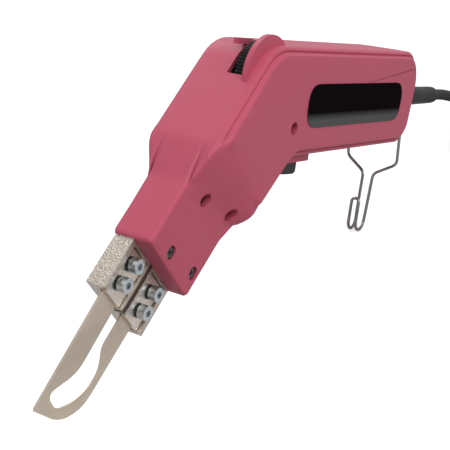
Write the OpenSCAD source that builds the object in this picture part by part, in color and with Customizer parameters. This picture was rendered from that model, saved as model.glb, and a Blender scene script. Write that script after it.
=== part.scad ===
// Electric hot knife: a low voltage transformer in the head heats a looped blade.
// The tool stands on the blade's round end and on the foot of its wire stand.

/* [Body] */
// Height of the handle between its moulded edges
handle_h = 54; // [50:1:60]
// Height of the handle's underside above the head's datum
handle_z = 44; // [42:0.5:48]
// Length from the head's datum to the rear of the side panels
handle_x = 258; // [250:1:270]
// Thickness over the two raised side panels
body_t = 41; // [39:0.5:46]
// How far each side panel stands proud of the shell's edge
panel_rise = 2.5; // [1.5:0.1:3]
// Margin between the shell's edge and the panel
panel_margin = 3.2; // [2.5:0.1:4.5]
// Wall of the shells
wall = 2.6; // [2:0.1:3]
// Distance of the parting plane from the middle plane, towards the left
seam_off = 3; // [2:0.1:4]
// Bulge of the rear end beyond the panels
rear_bulge = 8; // [4:0.5:12]

/* [Head] */
// Angle of the head below the handle
head_a = 47; // [44:0.5:50]
// Distance from the datum to the nose's mouth, along the head
nose_end = 21; // [18:0.5:24]
// Thickness of the nose
nose_t = 22; // [21:0.5:26]
// Depth of the nose from its front face to its underside
nose_d = 46; // [44:0.5:49]
// Step of the wide part's underside below the nose
under_step = 2.4; // [1:0.2:4]
// Step of the wide part's front face in front of the nose
front_step = 5.4; // [3:0.2:7]
// Distance along the head where the wide part starts to taper
wide_end = 72; // [70:0.5:76]
// Distance along the head where the nose's flat sides start
nose_start = 54; // [52:0.5:58]

/* [Electrodes] */
// Length of the blocks outside the mouth
block_l = 25; // [22:0.5:28]
// Width of each block
block_w = 19.6; // [18:0.2:20]
// Gap between the blocks
block_gap = 2.8; // [2.2:0.1:3.4]
// Thickness of each block under the blade
block_base = 6; // [5:0.1:6.4]
// Outer wall of each block
block_wall = 3; // [2:0.1:4]
// Thickness of the clamp plates
plate_t = 1.8; // [1.2:0.1:2.4]
// Clamp screw thread diameter
clamp_d = 4; // [3:0.5:4.5]
// Clamp screw head diameter
clamp_head_d = 7; // [6:0.1:8]
// Spacing of the two screws on each block
clamp_pitch = 10; // [9:0.2:12]

/* [Blade] */
// Blade thickness
blade_t = 1; // [0.6:0.1:1.6]
// Length of the blade beyond the datum
blade_l = 61; // [50:1:75]
// Radius of the blade's round end
blade_r = 21; // [19:0.5:22]

/* [Controls] */
// Radius of the thumb wheel
dial_r = 16; // [14:0.2:17]
// Thickness of the thumb wheel
dial_t = 5.6; // [4:0.1:6]
// Number of ribs on the thumb wheel
dial_ribs = 60; // [40:2:80]
// Travel of the trigger
trigger_travel = 4; // [3:0.2:4.4]
// Thickness of the trigger
trigger_t = 11; // [9:0.2:13]

/* [Stand] */
// Wire diameter
wire_d = 1.9; // [1.6:0.1:2.2]
// Spacing of the two legs
leg_span = 33; // [32:0.2:33.6]
// Height of the stand from its pivot to the foot's bend
stand_h = 62; // [56:1:68]
// Bend radius of the foot
foot_r = 5.5; // [4:0.5:7]

/* [Cord] */
// Cord diameter
cord_d = 7.2; // [6:0.2:7.4]
// Boot diameter where it leaves the body
boot_d = 12; // [11:0.2:13]
// Length of the boot outside the body
boot_l = 64; // [40:1:70]

/* [Hidden] */

// Clearances: a running pin, a sliding piece, a seated face
run_c = 0.05;
slide_c = 0.3;
seat_c = 0.1;
fine = 48;

// Main planes of the body: panel face, shell side, parting plane, nose side
half_t = body_t / 2;
shell_y = half_t - panel_rise;
seam_y = -seam_off;
nose_y = nose_t / 2;
handle_top = handle_z + handle_h;
nose_v = -3;
front_v = nose_v + front_step;
nose_under = nose_v - nose_d;
under_start = wide_end - 6;
step_start = under_start - 5;
under_k = tan(5.5);
nose_round = 1.6;
draft = 0.5;

// Head axes: p runs back up the head from the datum, v towards its front face
function hp(p, v) = [p * cos(head_a) - v * sin(head_a), p * sin(head_a) + v * cos(head_a)];
module head() {
    rotate([0, -head_a, 0]) children();
}

function smooth01(t) = let (c = min(1, max(0, t))) c * c * (3 - 2 * c);
function front_of(p) = nose_v + front_step * smooth01((p - nose_start) / (wide_end - nose_start));
function under_of(p) = nose_under - under_step * smooth01((p - step_start) / (under_start - step_start))
    - max(0, p - under_start) * under_k;
top_p = (handle_top - front_v * cos(head_a)) / sin(head_a);
under_p = (handle_z - (nose_under - under_step + under_start * under_k) * cos(head_a))
    / (sin(head_a) - under_k * cos(head_a));

// Side outline as corners [x, z, tangent length], with the head cut off at e and its nose drawn in by q;
// the corners behind the cut keep a gap g from each other
rear_corners = [[handle_x - 9, handle_z, 2.4], [handle_x - 0.5, handle_z + 8, 3.2],
    [handle_x + 3.5, handle_z + 40, 7], [handle_x - 6, handle_top, 6]];
function head_corner(p, v, t) = concat(hp(p, v), [t]);
taper_end = wide_end + 2;
// The taper starts later on the underside than on the front face
function under_e(e) = e < nose_start ? e : e + 0.4 * max(0, taper_end - e);
function side_corners(e, q, g) = concat(rear_corners, [
    head_corner(top_p, front_v, 11),
    head_corner(max(wide_end, e + 2 * g), front_of(max(wide_end, e + 2 * g)), 2.6),
    head_corner(max(nose_start, e + g), front_of(max(nose_start, e + g)) - q, 2.6),
    head_corner(e, front_of(e) - q, 2.6),
    head_corner(under_e(e), under_of(under_e(e)) + q, 2.6),
    head_corner(max(step_start, under_e(e) + g), under_of(max(step_start, under_e(e) + g)) + q, 2.6),
    head_corner(max(under_start, under_e(e) + 2 * g), under_of(max(under_start, under_e(e) + 2 * g)), 2.6),
    head_corner(under_p, under_of(under_p), 6)]);

function xz(c) = [c[0], c[1]];
function at(C, i) = C[(i + len(C)) % len(C)];
function unit(a) = a / norm(a);
function left_of(a, b) = let (d = unit(b - a)) [-d[1], d[0]];
function inset(C, d) = [for (i = [0 : len(C) - 1])
    let (p = xz(at(C, i)), n1 = left_of(xz(at(C, i - 1)), p), n2 = left_of(p, xz(at(C, i + 1))))
    concat(p + d * (n1 + n2) / (1 + n1 * n2), [C[i][2]])];
function curve3(a, b, c, n) = [for (k = [0 : n])
    let (t = k / n) (1 - t) * (1 - t) * a + 2 * t * (1 - t) * b + t * t * c];
function rounded(C, n) = [for (i = [0 : len(C) - 1])
    let (p = xz(C[i]), a = unit(xz(at(C, i - 1)) - p), b = unit(xz(at(C, i + 1)) - p))
    each curve3(p + a * C[i][2], p, p + b * C[i][2], n)];

// The taper from the panels down to the nose, and the round of the rear end between the sides
function taper_y(e) = nose_y + 0.2 + (e - nose_start) * (half_t - nose_y - 0.2) / (taper_end - nose_start);
function near_front(c) = 1 - smooth01((c * [cos(head_a), sin(head_a)] - wide_end) / 8);
function bulge(c, y) = rear_bulge * smooth01((c[0] - handle_x + 30) / 30) * max(0, 1 - pow(y / shell_y, 2));
function ring(s, side, n) = [for (c = rounded(inset(side_corners(s[2], s[3], 6 + 1.4 * s[1]), s[1]), n))
    let (f = s[2] > nose_start && s[4] ? near_front(c) : 0, y = s[0] + f * (taper_y(s[2]) - s[0]))
    [c[0] + bulge(c, y), side * y, c[1]]];

// Rings of one side from the panel to the nose: [y, inset, head end, nose inset, follows the taper]
outer_rings = [
    [half_t, panel_margin + 1.5, taper_end, 0, true],
    [half_t - 0.4, panel_margin + 0.6, wide_end + 1, 0, true],
    [half_t - 1.2, panel_margin + 0.1, wide_end, 0, true],
    [shell_y - 0.5, panel_margin - 0.7, wide_end - 1, 0, true],
    [shell_y, panel_margin - 1.5, wide_end - 2, 0, true],
    [shell_y - 0.5, 0.8, wide_end - 3.5, 0, true],
    [shell_y - 1.5, 0.25, wide_end - 5.5, 0, true],
    [shell_y - 3, 0, wide_end - 8, 0, true],
    [nose_y + 2, 0, nose_start + 5, 0, true],
    [nose_y + 0.6, 0, nose_start + 1, 0, true],
    [nose_y, 0, nose_start - 3, nose_round, false],
    [nose_y - draft, 0, nose_end + nose_round, nose_round, false],
    [nose_y - draft - 0.6, 0, nose_end + 0.5, 0.5, false],
    [nose_y - draft - nose_round, 0, nose_end, 0, false]];
inner_rings = [
    [half_t - wall, panel_margin + wall + 0.6, wide_end + 6, 0, false],
    [shell_y - wall, wall + 0.8, wide_end + 3, 0, false],
    [shell_y - wall - 1.5, wall, wide_end, 0, false],
    [nose_y - wall + 2, wall, nose_start + 8, 0, false],
    [nose_y - wall, wall, nose_start + 3, 0, false],
    [nose_y - wall - draft, wall, nose_end, 0, false]];
function straight(y) = [y, 0, nose_end, 0, false];
function straight_in(y) = [y, wall, nose_end, 0, false];

// Skin through closed rings of equal length, each end closed by a fan from its own hub point
module loft(rings, hubs, flip) {
    n = len(rings[0]);
    m = len(rings);
    pts = concat([for (r = rings) each r], hubs);
    walls = [for (j = [0 : m - 2], i = [0 : n - 1])
        let (a = j * n + i, b = j * n + (i + 1) % n)
        each [[a, b, b + n], [a, b + n, a + n]]];
    caps = [for (i = [0 : n - 1])
        let (k = (i + 1) % n, e = (m - 1) * n)
        each [[k, i, m * n], [e + i, e + k, m * n + 1]]];
    faces = concat(walls, caps);
    polyhedron(pts, flip ? [for (f = faces) [f[2], f[1], f[0]]] : faces, convexity = 8);
}

// Swept tube along points, with its section carried round the bends without twist
function tangent(P, i) = unit(P[min(i + 1, len(P) - 1)] - P[max(i - 1, 0)]);
function square_to(n, t) = unit(n - (n * t) * t);
function sections(P, n0) = [for (i = 0, n = square_to(n0, tangent(P, 0)); i < len(P);
    i = i + 1, n = i < len(P) ? square_to(n, tangent(P, i)) : n) n];
module tube(P, r, sides, n0) {
    N = sections(P, n0);
    loft([for (i = [0 : len(P) - 1]) let (t = tangent(P, i), b = cross(t, N[i]))
        [for (k = [0 : sides - 1]) P[i] + r * (cos(360 * k / sides) * N[i] + sin(360 * k / sides) * b)]],
        [P[0], P[len(P) - 1]], true);
}
// Path with its corners [x, y, z, tangent length] rounded by n steps
function xyz(c) = [c.x, c.y, c.z];
function soft_path(C, n) = [for (i = [0 : len(C) - 1])
    let (p = xyz(C[i]))
    each (i == 0 || i == len(C) - 1 ? [p]
        : let (a = unit(xyz(C[i - 1]) - p), b = unit(xyz(C[i + 1]) - p))
            curve3(p + a * C[i][3], p, p + b * C[i][3], n))];

// Electrode blocks across the head, and levels through the nose's thickness
block_v = nose_v - 1.6;
block_far = nose_y - 2;
seat_y = block_far - block_base;
rim_y = seat_y - 4.1;
lip = 1.2;
block_p = nose_end - block_l;
mouth_p = nose_end + wall;
upper_v = [block_v - block_w, block_v];
lower_v = [block_v - 2 * block_w - block_gap, block_v - block_w - block_gap];
split_v = block_v - block_w - block_gap / 2;
clamp_v = [split_v + 11.8, split_v - 11.4];
clamp_p = [for (k = [-1, 1]) nose_end - 12.5 + k * clamp_pitch / 2];
washer_t = 1;
head_l = clamp_d;
plate_y = seat_y - blade_t - plate_t;

// Blade outline in head axes
blade_back = clamp_p[1] + 5.5;
leg_low = split_v - 15;
blade_c = [23 - blade_l, leg_low + blade_r];
blade_top = block_v - block_wall - 0.4;
function arc(c, r, a0, a1, n) = [for (k = [0 : n])
    let (a = a0 + (a1 - a0) * k / n) c + r * [cos(a), sin(a)]];
blade_pts = concat([[blade_back, blade_top], [-blade_l + 1, blade_top - 3.9], [-blade_l, blade_top - 4.9]],
    arc(blade_c, blade_r, 191, 270, 16), [[blade_back, leg_low]]);

// Wire stand, hanging from its pivot in the rear of the handle
pivot = [handle_x - 4.5, handle_z + 10];
leg_y = leg_span / 2;
wire_r = wire_d / 2;
foot_c = [pivot[0] - foot_r, pivot[1] - stand_h];
stub_in = leg_y - 7;

// Stance: the body is tipped until blade and foot touch the ground together
blade_mid = hp(blade_c[0], blade_c[1]);
stance_d = [foot_c[0] - blade_mid[0], blade_mid[1] - foot_c[1]];
pitch = asin((blade_r - foot_r - wire_r) / norm(stance_d)) - atan2(stance_d[1], stance_d[0]);
boot_z = handle_z + 25;
rear_x = handle_x + 1.6 + rear_bulge;
boot_x = rear_x + boot_l;
function tipped(a) = [a[0] * cos(pitch) + a[1] * sin(pitch), a[1] * cos(pitch) - a[0] * sin(pitch)];
stance_x = (min([for (b = blade_pts) tipped(hp(b[0], b[1]))[0]])
    + tipped([boot_x, boot_z + boot_d / 2 - 0.8])[0]) / 2;
stance_z = tipped(foot_c)[1] - foot_r - wire_r;
function stand(P) = let (t = tipped([P.x, P.z])) [t[0] - stance_x, P.y, t[1] - stance_z];
module stand_up() {
    translate([-stance_x, 0, -stance_z]) rotate([0, pitch, 0]) children();
}
// Cylinder along y between two levels, at [x, z] of the body
module post(c, y0, y1, r) {
    translate([c[0], y1, c[1]]) rotate([90, 0, 0]) cylinder(r = r, h = y1 - y0, $fn = fine);
}
// Box in head axes
module head_box(p, y, v) {
    head() translate([p[0], y[0], v[0]]) cube([p[1] - p[0], y[1] - y[0], v[1] - v[0]]);
}
module side_plate(pts, y0, y1) {
    translate([0, y1, 0]) rotate([90, 0, 0]) linear_extrude(y1 - y0) polygon(pts);
}

// Case screws: [position, level of the head's seat, level at which its bosses grow out of the walls]
nose_seat = 3.4 - nose_y;
deep_seat = -6.4;
nose_root = nose_y - draft - 1.2;
panel_root = half_t - 1.2;
case_at = [[hp(27, -20), nose_seat, nose_root], [hp(31, -42.8), nose_seat, nose_root],
    [hp(56.5, -20), deep_seat, nose_root], [hp(64, -41), deep_seat, nose_y + 1],
    [[111, 59], deep_seat, panel_root], [[207, 70], deep_seat, panel_root]];
case_d = 3;
case_head_r = 2.8;
case_head_t = 2;
case_tip = nose_y - wall - 2;
bore_r = case_head_r + 0.5;
near_boss = bore_r + 0.9;
far_boss = 2.9;

// Label, dial, trigger and switch places on the body
label_x = [122, 236.5];
label_z = [58.8, 80.6];
label_r = 9.6;
label_t = 0.5;
dial_depth = 15;
dial_set = 3.3951;
dial_at = [hp(top_p, front_v)[0] + dial_set, handle_top - dial_depth];
dial_y = [-10.2, dial_t - 10.2];
slot_y = [dial_y[0] - 0.5, -1];
slot_r = dial_r + 1;
ear_r = dial_r + 3.5;
ear_t = 2.5;
shaft_r = 3;
trigger_x = [122.5, 147.5];
guard_x = [115, 151];
guard_y = 10;
guard_z = handle_z - 5.4;
floor_z = handle_z + wall;
flange_z = [floor_z + slide_c, floor_z + 2.4];
switch_z = flange_z[1] + trigger_travel + 2.4;
board_y = [8, 9.6];
// The board follows the dial at its front and the handle's floor along its lower edge
board_z = [handle_z + 8, dial_at[1] + 9];
board_front = dial_at[0] - 10.5;
board_rear = 190;
board_pts = [[103, board_z[0]], [board_rear, board_z[0]], [board_rear, board_z[1]], [93, board_z[1]],
    [board_front, dial_at[1] - 5], [board_front, dial_at[1] - 10], [103, dial_at[1] - 10]];
board_post_off = 5;
board_posts = [[112, board_z[1] - board_post_off], [board_rear - 6, board_z[1] - board_post_off],
    [board_rear - 6, board_z[0] + board_post_off]];
triac_at = [160, board_z[0] + 18];
triac_size = [10, 4.5, 15];
cap_at = [176, board_z[0] + 14];
cap_l = 13;
cap_r = 6;
switch_x = [trigger_x[0], trigger_x[1] + 0.5];
plunger_x = (switch_x[0] + switch_x[1]) / 2;
boot_r = boot_d / 2;
neck_r = boot_r - 0.6;
clamp_x = [238, 248];
bar_y = seam_y - cord_d / 2 - seat_c;
clamp_post_z = [for (k = [-1, 1]) boot_z + k * 8.6];

// A place inside the elbow of the body from which every edge of its side outline can be seen
elbow = hp(119, -25);
module shell_loft(rings, side, n) {
    ends = [rings[0][0], rings[len(rings) - 1][0]];
    loft([for (s = rings) ring(s, side, n)], [for (y = ends) [elbow[0], side * y, elbow[1]]], side > 0);
}
// Near wall: the outside less the hollow
module near_wall() {
    difference() {
        shell_loft(concat(outer_rings, [straight(-seam_y)]), -1, 5);
        shell_loft(concat(inner_rings, [straight_in(-seam_y - 1)]), -1, 3);
    }
}
// Far wall: one skin from the panel's face to the parting plane outside, and back to the panel inside
module far_wall() {
    inside = [for (i = [len(inner_rings) - 1 : -1 : 0]) inner_rings[i]];
    shell_loft(concat(outer_rings, [straight(seam_y), straight_in(seam_y)], inside), 1, 5);
}
// Slots for the stand's legs, from rest to pointing straight back
leg_lean = 4;
leg_drop = 24.5;
slot_half = wire_r + 0.4;
module leg_slot(side) {
    y = side < 0 ? [-leg_y - slot_half, -leg_y + slot_half] : [leg_y - slot_half, leg_y + slot_half];
    side_plate([[pivot[0] - slot_half, pivot[1] + slot_half], [pivot[0] - slot_half, pivot[1]],
        [pivot[0] + leg_lean - slot_half, pivot[1] - leg_drop], [pivot[0] + 40, pivot[1] - leg_drop],
        [pivot[0] + 40, pivot[1] + slot_half + 1], [pivot[0], pivot[1] + slot_half]], y[0], y[1]);
}
module guard_block(y0, y1) {
    side_plate([[guard_x[0], guard_z], [guard_x[1], guard_z], [guard_x[1], handle_z + 1],
        [guard_x[0], handle_z + 1]], y0, y1);
}
module trigger_hole() {
    translate([trigger_x[0] - slide_c, -trigger_t / 2 - slide_c, guard_z - 1])
        cube([trigger_x[1] - trigger_x[0] + 2 * slide_c, trigger_t + 2 * slide_c, floor_z - guard_z + 2]);
}
module boot_hole() {
    translate([rear_x - 20, seam_y, boot_z]) rotate([0, 90, 0])
        cylinder(r = neck_r + seat_c, h = 40, $fn = fine);
}
label_corners = [for (c = [[0, 0], [1, 0], [1, 1], [0, 1]]) [label_x[c[0]], label_z[c[1]], label_r]];

// Boss for a stub of the stand, on a rib from the floor
boss_r = 3.4;
rib_t = 4.6;
module pivot_boss(y0, y1) {
    post(pivot, y0, y1, boss_r);
    translate([pivot[0] - rib_t / 2 - 0.6, y0 + 0.4, handle_z + 4.2])
        cube([rib_t, y1 - y0 - 0.8, pivot[1] - handle_z - 4.2]);
}
module left_shell() {
    color("#c15c70") stand_up() difference() {
        union() {
            near_wall();
            for (s = case_at) post(s[0], -s[2], seam_y, near_boss);
            pivot_boss(-leg_y + slot_half, -stub_in);
            post(dial_at, slot_y[0] - ear_t, slot_y[0], ear_r);
            guard_block(-guard_y, seam_y);
        }
        for (s = case_at) {
            post(s[0], -half_t - 1, s[1], bore_r);
            post(s[0], s[1] - 1, seam_y + 1, case_d / 2 + 0.2);
        }
        post(dial_at, slot_y[0], seam_y + 1, slot_r);
        trigger_hole();
        boot_hole();
        leg_slot(-1);
        post(pivot, -leg_y, -stub_in + 1, wire_r + run_c);
    }
}
clamp_mid = (clamp_x[0] + clamp_x[1]) / 2;
module right_shell() {
    color("#c15c70") stand_up() difference() {
        union() {
            far_wall();
            for (s = case_at) post(s[0], seam_y, s[2], far_boss);
            for (c = board_posts) post(c, board_y[1] + seat_c, panel_root, 2.5);
            for (z = clamp_post_z) post([clamp_mid, z], bar_y + seat_c, panel_root, 2.9);
            translate([clamp_x[0], seam_y + cord_d / 2 + seat_c, boot_z - 3])
                cube([clamp_x[1] - clamp_x[0], panel_root - seam_y - cord_d / 2, 6]);
            for (v = [core_v[0] + 6, core_v[1] - 10])
                head_box([core_p[0] + 6, core_p[1] - 4], [core_y + seat_c, panel_root - 1], [v, v + 4]);
            pivot_boss(stub_in, leg_y - slot_half);
            translate([dial_at[0] - 11, slot_y[1], handle_top - wall + 1]) cube([14, 2.2, wall + 0.2]);
            guard_block(seam_y, guard_y);
        }
        for (s = case_at) post(s[0], seam_y - 1, case_tip + 1, case_d / 2 + run_c);
        for (z = clamp_post_z) post([clamp_mid, z], bar_y - 1, bar_y + 9, bar_screw_r + run_c);
        post(dial_at, seam_y - 1, slot_y[1], slot_r);
        trigger_hole();
        boot_hole();
        leg_slot(1);
        post(pivot, stub_in - 1, leg_y, wire_r + run_c);
        head_box([nose_end - 1, mouth_p + 1], [rim_y - seat_c, block_far + seat_c],
            [lower_v[0] - seat_c, upper_v[1] + seat_c]);
    }
}
module case_screws() {
    color("#8a8d90") stand_up() for (s = case_at) {
        difference() {
            post(s[0], s[1] - case_head_t, s[1], case_head_r);
            for (a = [0, 90]) translate([s[0][0], s[1] - case_head_t, s[0][1]]) rotate([0, a, 0])
                cube([3.2, 2, 0.8], center = true);
        }
        post(s[0], s[1], case_tip, case_d / 2);
    }
}
module label_plate() {
    y = -half_t - run_c;
    color("#151515") stand_up() side_plate(rounded(label_corners, 5), y - label_t, y);
}

// Thumb wheel with a ribbed rim, on the potentiometer's shaft
module temperature_dial() {
    ribs = [for (k = [0 : dial_ribs - 1], j = [0, 1])
        let (a = 360 * (k + j * 0.5) / dial_ribs, r = dial_r - (j == 0 ? 0 : 0.6))
        each [[r * cos(a), r * sin(a)], [r * cos(a + 90 / dial_ribs), r * sin(a + 90 / dial_ribs)]]];
    color("#2b2b2c") stand_up() translate([dial_at[0], dial_y[1], dial_at[1]]) rotate([90, 0, 0])
        difference() {
            linear_extrude(dial_t) polygon(ribs);
            translate([0, 0, -1]) cylinder(r = shaft_r + run_c, h = dial_t + 2, $fn = fine);
            translate([0, 0, dial_t - 1.4]) difference() {
                cylinder(r = dial_r - 3, h = 2, $fn = fine);
                translate([0, 0, -1]) cylinder(r = shaft_r + 2, h = 4, $fn = fine);
            }
        }
}
pot_r = 8;
pot_y = [0.4, board_y[0] - seat_c];
module dial_shaft() {
    color("silver") stand_up() post(dial_at, dial_y[0] + 0.2, pot_y[0] + 4, shaft_r);
}
module potentiometer() {
    color("#4a6a55") stand_up() difference() {
        union() {
            post(dial_at, pot_y[0], pot_y[1], pot_r);
            post(dial_at, pot_y[0] - 2.4, pot_y[0], shaft_r + 1);
        }
        post(dial_at, pot_y[0] - 3, pot_y[0] + 4.2, shaft_r + run_c);
    }
}
module control_board() {
    color("#2f6b3c") stand_up() {
        difference() {
            side_plate(board_pts, board_y[0], board_y[1]);
            for (s = case_at) post(s[0], board_y[0] - 1, board_y[1] + 1, far_boss + slide_c);
        }
        // Triac on its tab, and a smoothing capacitor
        translate([triac_at[0], board_y[0] - triac_size[1], triac_at[1]]) cube(triac_size);
        post(cap_at, board_y[0] - cap_l, board_y[0], cap_r);
    }
}
module trigger() {
    x = trigger_x;
    color("#222324") stand_up() {
        side_plate([[x[0], flange_z[0] + 0.5], [x[0], guard_z - 3.6], [x[0] + 3.5, guard_z - 6.4],
            [x[0] + 14, guard_z - 7.4], [x[1] - 2.2, guard_z - 7.8], [x[1], guard_z - 6.6],
            [x[1], flange_z[0] + 0.5]], -trigger_t / 2, trigger_t / 2);
        translate([x[0] - 2, -trigger_t / 2 - 2, flange_z[0]])
            cube([x[1] - x[0] + 4, trigger_t + 4, flange_z[1] - flange_z[0]]);
    }
}
spring_r = 3.4;
spring_wire = 0.7;
spring_turns = 3;
spring_y = 1;
module trigger_spring() {
    h = switch_z - flange_z[1] - spring_wire - 2 * seat_c;
    pts = [for (k = [0 : 12 * spring_turns]) let (a = 30 * k)
        [plunger_x + spring_r * cos(a), spring_y + spring_r * sin(a),
            flange_z[1] + seat_c + spring_wire / 2 + h * k / (12 * spring_turns)]];
    color("silver") stand_up() tube(pts, spring_wire / 2, 6, [0, 0, 1]);
}
module switch_body() {
    color("#333333") stand_up() {
        translate([switch_x[0], -6, switch_z])
            cube([switch_x[1] - switch_x[0], board_y[0] - seat_c + 6, 16]);
        translate([plunger_x, spring_y, switch_z - 1.8]) cylinder(r = 2, h = 2, $fn = fine);
    }
}

// Transformer: core with two windows, a primary round its centre leg and a single turn secondary strap
core_p = [79, 99];
core_v = [-44, -4];
core_mid = (core_v[0] + core_v[1]) / 2;
core_y = 13;
core_leg = 7;
window_v = 15.8;
window_y = 8.5;
strap_y = [0.4, 6.4];
strap_t = 3;
strap_off = 10.6;
module transformer_core() {
    color("#5d5f63") stand_up() difference() {
        head_box(core_p, [-core_y, core_y], core_v);
        for (k = [[core_leg, window_v], [-window_v, -core_leg]])
            head_box([core_p[0] - 1, core_p[1] + 1], [-window_y, window_y], core_mid * [1, 1] + k);
    }
}
coil_t = 5.4;
module primary_winding() {
    color("#a8622d") stand_up() difference() {
        head_box([core_p[0] - coil_t, core_p[1] + coil_t], [0.4 - window_y, strap_y[0] - 1],
            [core_mid - window_v + 0.6, core_mid + window_v - 0.6]);
        head_box([core_p[0] - seat_c, core_p[1] + seat_c], [-window_y, strap_y[0]],
            [core_mid - core_leg - seat_c, core_mid + core_leg + seat_c]);
    }
}
strap_front = 36;
strap_p = [strap_front, core_p[1] + 5.5];
module secondary_strap() {
    v = [core_mid - strap_off - strap_t, core_mid + strap_off + strap_t];
    color("#b87333") stand_up() difference() {
        head_box(strap_p, strap_y, v);
        head_box([strap_p[0] - 1, strap_p[1] - strap_t], [strap_y[0] - 1, strap_y[1] + 1],
            [v[0] + strap_t, v[1] - strap_t]);
    }
}

// Electrodes: channel blocks with a tail each, held by an insulating carrier behind the mouth
tail_y = [1.2, 6.2];
tail_w = 3.4;
tail_p = 47;
upper_tail = [core_mid + strap_off - tail_w - seat_c, core_mid + strap_off - seat_c];
lower_tail = [core_mid - strap_off + seat_c, core_mid - strap_off + tail_w + seat_c];
carrier_p = [mouth_p + 3 * slide_c, 35];
carrier_y = [-5.4, nose_y - wall - draft - 2 * seat_c];
carrier_v = [nose_under + wall + 2 * slide_c, nose_v - wall - 2 * slide_c];
carrier_screw_p = 32;
carrier_screw_r = 1.25;
sheet_t = block_gap - 2 * seat_c;
module electrode(v, wall_side, tail) {
    channel = wall_side > 0 ? [v[0] + lip, v[1] - block_wall] : [v[0] + block_wall, v[1] - lip];
    color("#b9b2a8") stand_up() difference() {
        union() {
            difference() {
                head_box([block_p, mouth_p], [rim_y, block_far], v);
                head_box([block_p - 1, blade_back + 0.6], [rim_y - 1, seat_y], channel);
            }
            head_box([mouth_p - 1, tail_p], tail_y, tail);
        }
        for (p = clamp_p) head() translate([p, 0, clamp_v[wall_side > 0 ? 0 : 1]]) rotate([-90, 0, 0])
            cylinder(r = clamp_d / 2 + run_c, h = seat_y + 5, $fn = fine);
        head() translate([carrier_screw_p, 0, (tail[0] + tail[1]) / 2]) rotate([-90, 0, 0])
            cylinder(r = carrier_screw_r + run_c, h = tail_y[0] + 3.4, $fn = fine);
    }
}
module upper_electrode() {
    electrode(upper_v, 1, upper_tail);
}
module lower_electrode() {
    electrode(lower_v, -1, lower_tail);
}
module electrode_insulator() {
    color("#3a1d16") stand_up()
        head_box([block_p + 1, 30], [rim_y + 0.4, carrier_y[1] - seat_c],
            split_v * [1, 1] + [-sheet_t, sheet_t] / 2);
}
module electrode_carrier() {
    color("#6b3a2a") stand_up() difference() {
        head_box(carrier_p, carrier_y, carrier_v);
        for (t = [upper_tail, lower_tail])
            head_box([carrier_p[0] - 1, carrier_p[1] + 1], tail_y + seat_c * [-1, 1], t + seat_c * [-1, 1]);
        head_box([carrier_p[0] - 1, 30 + seat_c], [rim_y + 0.3, block_far],
            split_v * [1, 1] + block_gap / 2 * [-1, 1]);
        for (s = case_at) {
            post(s[0], carrier_y[0] - 1, seam_y + seat_c, near_boss + slide_c);
            post(s[0], carrier_y[0] - 1, carrier_y[1] + 1, far_boss + seat_c);
        }
        for (t = [upper_tail, lower_tail]) post(hp(carrier_screw_p, (t[0] + t[1]) / 2), carrier_y[0] - 1,
            tail_y[0], carrier_screw_r + run_c);
    }
}
module carrier_screws() {
    color("#8a8d90") stand_up() for (t = [upper_tail, lower_tail]) {
        post(hp(carrier_screw_p, (t[0] + t[1]) / 2), carrier_y[0] - 2, carrier_y[0], 2.3);
        post(hp(carrier_screw_p, (t[0] + t[1]) / 2), carrier_y[0], tail_y[0] + 3, carrier_screw_r);
    }
}
module clamp_plate(v, k) {
    color("#c9c2b6") stand_up() difference() {
        head_box([block_p + 0.2, blade_back + 0.2], [plate_y, plate_y + plate_t], v);
        for (p = clamp_p) post(hp(p, clamp_v[k]), plate_y - 1, seat_y, clamp_d / 2 + 0.2);
    }
}
module upper_clamp_plate() {
    clamp_plate([upper_v[0] + lip + slide_c, upper_v[1] - block_wall - slide_c], 0);
}
module lower_clamp_plate() {
    clamp_plate([lower_v[0] + block_wall + slide_c, lower_v[1] - lip - slide_c], 1);
}
module clamp_screws() {
    y = plate_y - washer_t;
    color("#aeb7bd") stand_up() for (p = clamp_p, v = clamp_v) {
        difference() {
            post(hp(p, v), y - head_l, y, clamp_head_d / 2);
            head() translate([p, y - head_l - 1, v]) rotate([-90, 0, 0])
                cylinder(d = clamp_d * 0.866, h = 3.4, $fn = 6);
        }
        post(hp(p, v), y, seat_y + 4, clamp_d / 2);
    }
}
module spring_washers() {
    color("#7d8388") stand_up() for (p = clamp_p, v = clamp_v)
        head() translate([p, plate_y, v]) rotate([90, 0, 0]) rotate(60)
            rotate_extrude(angle = 348, $fn = fine)
                translate([clamp_d / 2 + 0.1, 0]) square([clamp_head_d / 2 - clamp_d / 2 - 0.2, washer_t]);
}

// Blade: two legs joined by a round end, with open slots for the clamp screws
leg_w = 11;
window_corners = [[blade_back + 5, leg_low + leg_w, 1], [blade_back + 5, split_v + 4.4, 1],
    [blade_c[0] + 1.5, split_v + 1.4, 6], [blade_c[0] - 14.5, split_v + 11.2, 5],
    [blade_c[0] - 16.5, split_v + 0.5, 4], [blade_c[0] - 7.5, split_v - 7.5, 6],
    [blade_c[0] + 8, split_v - 13.2, 8], [blade_c[0] + 17.5, leg_low + leg_w - 0.3, 3.5]];
module blade() {
    color("#b8aa9a") stand_up() head() translate([0, seat_y, 0]) rotate([90, 0, 0]) linear_extrude(blade_t)
        difference() {
            polygon(blade_pts);
            polygon(rounded(window_corners, 6));
            for (v = clamp_v) {
                translate([clamp_p[0], v]) circle(d = clamp_d + 0.5, $fn = fine);
                translate([clamp_p[0], v - clamp_d / 2 - 0.25]) square([30, clamp_d + 0.5]);
            }
        }
}

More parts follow.
